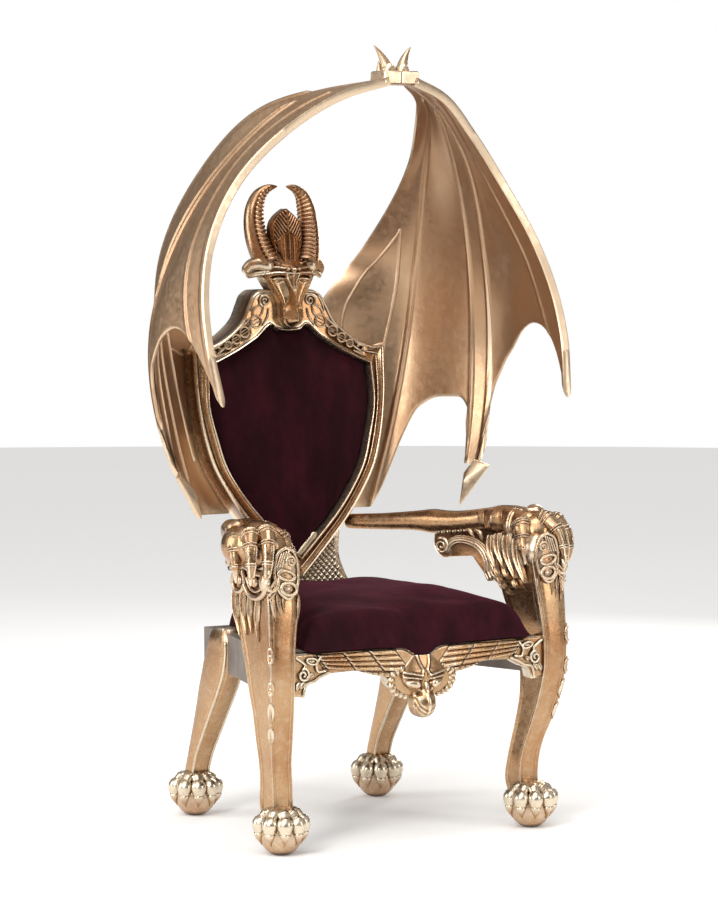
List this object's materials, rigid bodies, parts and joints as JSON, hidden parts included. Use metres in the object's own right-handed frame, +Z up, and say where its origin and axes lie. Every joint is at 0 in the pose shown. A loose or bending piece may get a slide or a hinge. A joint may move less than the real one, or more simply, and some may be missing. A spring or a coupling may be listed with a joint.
{
  "type": "throne",
  "caption": "Carved high-back throne with claw feet, paw-ended arms, a shield back under a horned dragon head, and scalloped wings meeting over the sitter.",
  "frame": {"origin": "on the floor under the middle of the object's bounding box", "axes": "+Z up, the sitter faces -Y, +X to the right as seen from the front; the names left and right are as seen from the front"},
  "size_m": [0.9656, 0.7042, 1.7709],
  "materials": {
    "gold": "antique champagne gold leaf over carved wood, satin, darkened in the hollows",
    "rail_paint": "plain taupe-grey paint on the seat rails and the back board, satin",
    "velvet": "deep burgundy velvet, short pile"
  },
  "bodies": {
    "root": {"arm_bracket_left": "gold", "arm_bracket_right": "gold", "arm_left": "gold", "arm_right": "gold", "back_board": "rail_paint", "back_cushion": "velvet", "back_frame": "gold", "back_splat": "gold", "crest_head": "gold", "front_apron": "gold", "front_leg_left": "gold", "front_leg_right": "gold", "rear_leg_left": "gold", "rear_leg_right": "gold", "rear_rail": "rail_paint", "seat_cushion": "velvet", "side_rail_left": "rail_paint", "side_rail_right": "rail_paint", "wing_left": "gold", "wing_right": "gold"}
  },
  "joints": []
}
